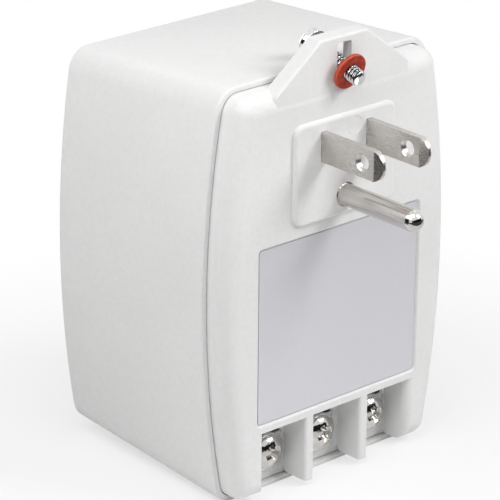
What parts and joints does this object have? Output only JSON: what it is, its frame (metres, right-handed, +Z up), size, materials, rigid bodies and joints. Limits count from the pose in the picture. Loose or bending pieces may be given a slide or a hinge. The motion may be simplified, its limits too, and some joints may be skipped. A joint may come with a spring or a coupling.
{
  "type": "plug-in transformer",
  "caption": "Plug-in transformer in a white bow-sided case with a grounded plug, a slotted mounting tab with its captive screw, and screw terminals in bays along the lower edge.",
  "frame": {"origin": "midway between the two blades, on the face of the raised plug pad", "axes": "+Z up towards the mounting tab, the plug points towards -Y, the deep half of the case is towards +Y"},
  "size_m": [0.0664, 0.0764, 0.0986],
  "materials": {
    "case": "satin, finely textured",
    "label": "satin foil",
    "plug": "nickel plated",
    "plate": "nickel plated",
    "screw": "bright plated",
    "fibre": "red fibre",
    "lamination": "varnished",
    "bobbin": "moulded",
    "copper": "enamelled",
    "tape": "polyester film",
    "lead_black": "insulation",
    "lead_white": "insulation",
    "lead_green": "insulation",
    "lead_red": "insulation"
  },
  "bodies": {
    "case": {"front_cover": "case", "rear_housing": "case", "rating_label": "label", "line_blade": "plug", "neutral_blade": "plug", "ground_pin": "plug", "core_e_stack": "lamination", "core_i_stack": "lamination", "bobbin": "bobbin", "primary_winding": "copper", "secondary_winding": "copper", "primary_tape": "tape", "secondary_tape": "tape", "line_lead": "lead_black", "neutral_lead": "lead_white", "ground_lead": "lead_green", "secondary_lead_left": "lead_red", "secondary_lead_right": "lead_red", "terminal_plate_left": "plate", "terminal_plate_middle": "plate", "terminal_plate_right": "plate"},
    "retaining_washer": {"retaining_washer": "fibre"},
    "mounting_screw": {"mounting_screw": "screw"},
    "terminal_washer_left": {"terminal_washer_left": "screw"},
    "terminal_screw_left": {"terminal_screw_left": "screw"},
    "terminal_washer_middle": {"terminal_washer_middle": "screw"},
    "terminal_screw_middle": {"terminal_screw_middle": "screw"},
    "terminal_washer_right": {"terminal_washer_right": "screw"},
    "terminal_screw_right": {"terminal_screw_right": "screw"}
  },
  "joints": [
    {"name": "slot_slide", "type": "slide", "parent": "case", "child": "retaining_washer", "axis": [0, 0, 1], "range_m": [0, 0.002]},
    {"name": "mounting_screw_turn", "type": "hinge", "parent": "retaining_washer", "child": "mounting_screw", "pos_m": [0, -0.00045, 0.01477], "axis": [0, 0.9563, 0.2924], "continuous": true},
    {"name": "terminal_slide_left", "type": "slide", "parent": "case", "child": "terminal_washer_left", "axis": [0, -1, 0], "range_m": [0, 0.00238]},
    {"name": "terminal_turn_left", "type": "hinge", "parent": "terminal_washer_left", "child": "terminal_screw_left", "pos_m": [-0.0148, 0.00639, -0.068], "axis": [0, -1, 0], "range_deg": [0, 1080]},
    {"name": "terminal_slide_middle", "type": "slide", "parent": "case", "child": "terminal_washer_middle", "axis": [0, -1, 0], "range_m": [0, 0.00238]},
    {"name": "terminal_turn_middle", "type": "hinge", "parent": "terminal_washer_middle", "child": "terminal_screw_middle", "pos_m": [0, 0.00639, -0.068], "axis": [0, -1, 0], "range_deg": [0, 1080]},
    {"name": "terminal_slide_right", "type": "slide", "parent": "case", "child": "terminal_washer_right", "axis": [0, -1, 0], "range_m": [0, 0.00238]},
    {"name": "terminal_turn_right", "type": "hinge", "parent": "terminal_washer_right", "child": "terminal_screw_right", "pos_m": [0.0148, 0.00639, -0.068], "axis": [0, -1, 0], "range_deg": [0, 1080]}
  ],
  "couplings": [
    {"joint": "terminal_turn_left", "follows": "terminal_slide_left", "rad_per_m": 7915.8},
    {"joint": "terminal_turn_middle", "follows": "terminal_slide_middle", "rad_per_m": 7915.8},
    {"joint": "terminal_turn_right", "follows": "terminal_slide_right", "rad_per_m": 7915.8}
  ]
}
